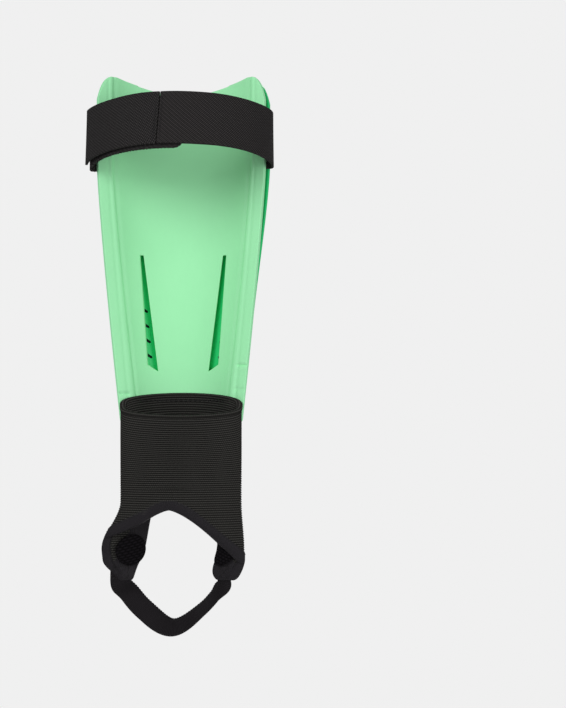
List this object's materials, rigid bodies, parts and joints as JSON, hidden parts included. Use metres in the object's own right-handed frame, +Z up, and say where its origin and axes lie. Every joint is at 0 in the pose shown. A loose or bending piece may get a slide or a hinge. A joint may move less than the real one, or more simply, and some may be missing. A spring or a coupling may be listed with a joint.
{
  "type": "shin guard",
  "caption": "Curved shin guard with foam backing, hook-and-loop calf strap, knit ankle sleeve with padded lobes and an under-foot stirrup.",
  "frame": {"origin": "on the foam's inner face, on the centre line, about halfway between the bottom edge and the ear peaks: the point that lies on the shin", "axes": "+Z up the shin, +Y to the front of the leg (away from the wearer's shin), +X to the wearer's left or right side as seen from behind the calf: the picture's right"},
  "size_m": [0.1313, 0.094, 0.3946],
  "materials": {
    "foam": "matt closed-cell EVA foam, mint green",
    "shell": "satin polypropylene, saturated green",
    "strap_elastic": "black twill elastic",
    "loop_panel": "black brushed loop elastic",
    "hook_tape": "black hook tape",
    "rib_knit": "charcoal rib knit",
    "binding": "black folded elastic binding",
    "pad_foam": "black soft foam",
    "pad_lining": "black spacer mesh",
    "thread": "black polyester thread"
  },
  "bodies": {
    "guard": {"foam_backing": "foam", "shell": "shell", "strap_anchor_right": "strap_elastic", "strap_anchor_left": "strap_elastic"},
    "calf_strap": {"strap_elastic": "strap_elastic", "strap_loop_panel": "loop_panel", "strap_lap_stitching": "thread"},
    "hook_tab": {"hook_tab": "strap_elastic", "hook_patch": "hook_tape"},
    "ankle_sleeve": {"ankle_sleeve": "rib_knit", "sleeve_top_hem": "rib_knit", "opening_binding": "binding", "sleeve_seam_stitching": "thread", "ankle_pad_left": "pad_foam", "ankle_pad_right": "pad_foam", "pad_lining_left": "pad_lining", "pad_lining_right": "pad_lining", "stirrup_tack_left": "strap_elastic", "stirrup_tack_right": "strap_elastic"},
    "stirrup": {"stirrup_strap": "strap_elastic"}
  },
  "joints": [
    {"name": "strap_open", "type": "hinge", "parent": "guard", "child": "calf_strap", "pos_m": [0.06326, -0.02637, 0.0795], "axis": [0, 0, 1], "range_deg": [0, 90]},
    {"name": "tab_bend", "type": "hinge", "parent": "guard", "child": "hook_tab", "pos_m": [-0.06196, -0.02753, 0.0795], "axis": [0, 0, 1], "range_deg": [0, 20]},
    {"name": "sleeve_fold", "type": "hinge", "parent": "guard", "child": "ankle_sleeve", "pos_m": [0, -0.024, -0.0975], "axis": [-1, 0, 0], "range_deg": [0, 60]},
    {"name": "stirrup_swing", "type": "hinge", "parent": "ankle_sleeve", "child": "stirrup", "pos_m": [0, -0.01806, -0.232], "axis": [1, 0, 0], "range_deg": [-28, 28]}
  ]
}
